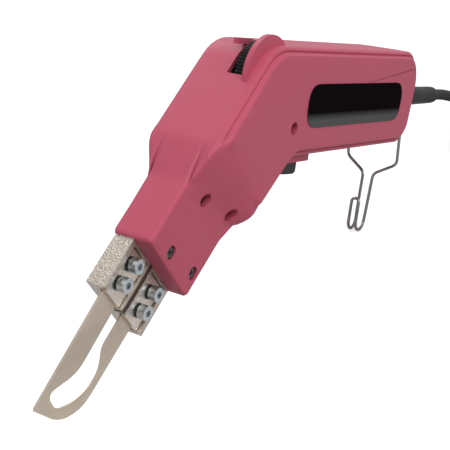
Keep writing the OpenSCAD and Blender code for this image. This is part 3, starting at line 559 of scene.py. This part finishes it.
def softenEdges(piece, width):
    weld = piece.modifiers.new("mergePoints", "WELD")
    weld.merge_threshold = mergeWithin
    if width:
        bevel = piece.modifiers.new("softEdge", "BEVEL")
        bevel.width = width * mm
        bevel.segments = edgeShading["segments"]
        bevel.limit_method = "ANGLE"
        bevel.angle_limit = math.radians(edgeShading["bevelOver"])
        bevel.use_clamp_overlap = True
    smooth = piece.modifiers.new("smoothByAngle", "NODES")
    smooth.node_group = smoothByAngle
    flat = piece.modifiers.new("flatFaces", "WEIGHTED_NORMAL")
    flat.weight = edgeShading["weight"]
    flat.keep_sharp = True


nodeFinish = {
    # finish and width of the edge bevel of each node that no piece here replaces
    "label_plate": ("labelLacquer", 0.15), "case_screws": ("dullScrew", 0.2),
    "temperature_dial": ("blackPlastic", 0.1), "trigger": ("blackPlastic", 0.5),
    "switch_body": ("blackPlastic", 0.3), "cord_clamp": ("blackPlastic", 0.3),
    "carrier_screws": ("dullScrew", 0.2), "clamp_bar_screws": ("dullScrew", 0.2),
    "clamp_screws": ("zincScrew", 0.1), "spring_washers": ("blackPlastic", 0.1),
    "upper_electrode": ("hammeredNickel", 0.45), "lower_electrode": ("hammeredNickel", 0.45),
    "upper_clamp_plate": ("smoothNickel", 0.25), "lower_clamp_plate": ("smoothNickel", 0.25),
    "blade": ("bladeSteel", 0.15), "wire_stand": ("brightWire", 0), "dial_shaft": ("zincScrew", 0.2),
    "electrode_insulator": ("brownFibre", 0.1), "electrode_carrier": ("brownFibre", 0.2),
    "control_board": ("greenBoard", 0.1), "potentiometer": ("greenBoard", 0.2),
    "transformer_core": ("coreVarnish", 0.2), "primary_winding": ("copper", 0.8),
    "secondary_strap": ("copper", 0.3), "cord_boot": ("cordRubber", 0.3), "cord_tie": ("cordRubber", 0.2),
    "plug_body": ("cordRubber", 0.8), "plug_pins": ("brass", 0.3),
}

for nodeName, (finishName, edgeWidth) in nodeFinish.items():
    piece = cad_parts[nodeName]
    piece.data.materials.clear()
    piece.data.materials.append(finishes[finishName])
    softenEdges(piece, edgeWidth)
cordPiece.data.materials.append(finishes["cordRubber"])
springPiece.data.materials.append(finishes["brightWire"])
print("hot knife: solids dressed")


# Cases: the two shells with their taper drawn into one soft curve between the wide part and the nose
caseBlend = {
    "headAngle": 47.0,  # degrees, of the head against the handle
    "along": (48.0, 54.0, 88.0, 98.0),  # where the curve starts, is full, fades and ends along the head
    "depth": (-44.0, -39.0, -9.0, -5.0),  # the same from the head's underside to its front
    "cuts": ((48.0, 98.0, 2.5), (-44.0, -4.0, 5.0)),  # rows of new points along the head and across its side
    "outside": 9.0,  # points nearer to the middle than this are left
    "facing": (0.5, 0.8),  # how squarely a face has to look sideways to move none or all the way
    "rim": 2.5, "skin": 3.0,  # a point this far inside another one that is this near lies in a hole
    "reach": 5.0,  # how far the fit looks around each point
    "edge": 0.4, "endSlack": 0.1,
    "cutWithin": 0.000005,  # metres
}


def toHead(points, values):
    # ground axes in metres to the head's in millimetres: along it, across it and out of its front
    inBody = np.asarray(points) / mm + np.array(stance["offset"])
    return turnAbout(inBody, stance["pitch"] - values["headAngle"])


def fromHead(points, values):
    turned = turnAbout(points, values["headAngle"] - stance["pitch"])
    return (turned - np.array(stance["offset"])) * mm


def fadeBetween(value, limits):
    start, full, fade, end = limits
    return smoothStep((value - start) / (full - start)) * smoothStep((end - value) / (end - fade))


def fittedLevel(u, v, h, reach, atOnce=400, tiny=1e-6):
    # each level is that of the plane fitted through its neighbours, weighted by a Gaussian of their distance
    level = np.empty_like(h)
    for rows in np.array_split(np.arange(len(h)), max(1, len(h) // atOnce)):
        du = u[None] - u[rows, None]
        dv = v[None] - v[rows, None]
        near = np.exp(-(du**2 + dv**2) / (2 * reach**2))
        basis = np.stack([np.ones_like(du), du, dv], -1)
        weighted = near[..., None] * basis
        left = np.einsum("ijk,ijl->ikl", weighted, basis) + tiny * np.eye(3)
        right = np.einsum("ijk,j->ik", weighted, h)[..., None]
        level[rows] = np.linalg.solve(left, right)[:, 0, 0]
    return level


def outermost(points, values):
    # a point in a screw's hole lies well inside the skin around it, and is left out
    gaps = np.hypot(points[:, None, 0] - points[None, :, 0], points[:, None, 2] - points[None, :, 2])
    around = np.where(gaps < values["rim"], abs(points[None, :, 1]), 0).max(1)
    return abs(points[:, 1]) > around - values["skin"]


def cutRows(form, values):
    # planes square to the head's axes add points where the shells have only long flat faces
    alongRows, depthRows = values["cuts"]
    origin, alongTip, outTip = fromHead([(0, 0, 0), (1, 0, 0), (0, 0, 1)], values)
    zoneStart, zoneEnd = alongRows[:2]
    for tip, (start, end, step) in ((alongTip, alongRows), (outTip, depthRows)):
        normal = (tip - origin) / mm
        for level in np.arange(start, end + values["endSlack"], step):
            form.verts.index_update()
            along = toHead([vert.co for vert in form.verts], values)[:, 0].tolist()
            faces = []
            for face in form.faces:
                spots = [along[vert.index] for vert in face.verts]
                if max(spots) > zoneStart and min(spots) < zoneEnd:
                    faces.append(face)
            geometry = dict.fromkeys(faces)  # each once, in the same order at each run
            for face in faces:
                geometry.update(dict.fromkeys(face.edges))
                geometry.update(dict.fromkeys(face.verts))
            bmesh.ops.bisect_plane(
                form,
                geom=list(geometry),
                plane_co=origin + normal * level * mm,
                plane_no=normal,
                dist=values["cutWithin"],
            )


def makeCase(name, node, side, values):
    # side is -1 or 1, the shell's own side of the middle plane
    form = bmesh.new()
    form.from_mesh(node.data)
    bmesh.ops.remove_doubles(form, verts=form.verts, dist=mergeWithin)
    cutRows(form, values)
    bmesh.ops.triangulate(form, faces=form.faces)
    form.normal_update()
    form.verts.index_update()
    form.verts.ensure_lookup_table()
    head = toHead([vert.co for vert in form.verts], values)
    looks = [[face.normal.y for face in vert.link_faces] for vert in form.verts]
    facing = np.array([max(map(abs, ys), default=0) for ys in looks])
    outward = np.array([sum(ys) * side > 0 for ys in looks]) & (head[:, 1] * side > values["outside"])
    low, high = values["facing"]
    weight = fadeBetween(head[:, 0], values["along"]) * fadeBetween(head[:, 2], values["depth"])
    weight = weight * smoothStep((facing - low) / (high - low)) * outward
    skin = np.nonzero(weight > 0)[0]
    skin = skin[outermost(head[skin], values)]
    level = fittedLevel(head[skin, 0], head[skin, 2], head[skin, 1], values["reach"])
    for index, new in zip(skin, head[skin, 1] + weight[skin] * (level - head[skin, 1])):
        form.verts[index].co.y = new * mm
    mesh = bpy.data.meshes.new(name)
    form.to_mesh(mesh)
    form.free()
    mesh.materials.append(finishes["bodyPlastic"])
    piece = addPiece(name, mesh)
    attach(piece, "tool")
    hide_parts(node.name)
    softenEdges(piece, values["edge"])
    print("hot knife:", name, "has", len(mesh.polygons), "faces")


makeCase("leftCase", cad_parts["left_shell"], -1, caseBlend)
makeCase("rightCase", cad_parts["right_shell"], 1, caseBlend)
print("hot knife: cases blended")


# White table and soft studio light
studio = {
    "half": 6000.0,  # of the table's width
    "floor": 0.8, "bounce": 0.3,  # its colour, and a darker one for the light that it sends back on to the tool
    "roughness": 0.9, "specular": 0.1,
    "lift": (0.5, 0.8), "liftFrom": (0.5, 2.5),  # glow to the camera, and its distances in metres
    "world": 0.33, "mirrored": 0.75,  # the surroundings, and as glossy faces see them
    "lamps": [
        # name, place, aim, size, watts
        ("keyLamp", (-900, -300, 1100), (0, 0, 60), 900, 9),
        ("sideLamp", (-180, -900, 640), (60, 0, 100), 700, 5),
        ("rearLamp", (500, 900, 1100), (0, 0, 60), 900, 6),
    ],
}


def makeFloor(values):
    half = values["half"] * mm
    grid = np.array([[(-half, -half, 0), (half, -half, 0)], [(-half, half, 0), (half, half, 0)]], float)
    floor = gridMesh("tableTop", grid, closeAround=False)
    material, tree, shader = newMaterial("whiteTable")
    shader.inputs["Roughness"].default_value = values["roughness"]
    shader.inputs["Specular IOR Level"].default_value = values["specular"]
    path = tree.nodes.new("ShaderNodeLightPath")
    colour = mixColour(tree, path.outputs["Is Diffuse Ray"], (values["floor"],) * 3, (values["bounce"],) * 3)
    tree.links.new(colour, shader.inputs["Base Color"])
    away = tree.nodes.new("ShaderNodeVectorMath")
    away.operation = "LENGTH"
    tree.links.new(objectCoords(tree), away.inputs[0])
    # the table's far parts, which the lamps miss, are lifted to white too
    lift = rampBetween(tree, away.outputs["Value"], *values["liftFrom"], *values["lift"])
    lift = mathNode(tree, "MULTIPLY", path.outputs["Is Camera Ray"], lift)
    shader.inputs["Emission Color"].default_value = (1, 1, 1, 1)
    tree.links.new(lift, shader.inputs["Emission Strength"])
    floor.data.materials.append(material)


def makeWorld(values):
    world = bpy.data.worlds.new("studioWorld")
    world.use_nodes = True
    tree = world.node_tree
    path = tree.nodes.new("ShaderNodeLightPath")
    around = rampBetween(tree, path.outputs["Is Glossy Ray"], 0, 1, values["world"], values["mirrored"])
    background = tree.nodes["Background"]
    background.inputs["Color"].default_value = (1, 1, 1, 1)
    strength = mathNode(tree, "MAXIMUM", path.outputs["Is Camera Ray"], around)
    tree.links.new(strength, background.inputs["Strength"])
    scene.world = world


def makeLamps(values):
    for name, place, aim, size, watts in values["lamps"]:
        data = bpy.data.lights.new(name, "AREA")
        data.shape = "DISK"
        data.size = size * mm
        data.energy = watts
        lamp = bpy.data.objects.new(name, data)
        lamp.location = Vector(place) * mm
        lamp.rotation_euler = (Vector(aim) - Vector(place)).to_track_quat("-Z", "Y").to_euler()
        scene.collection.objects.link(lamp)


makeFloor(studio)
makeWorld(studio)
makeLamps(studio)
print("hot knife: table and light made")
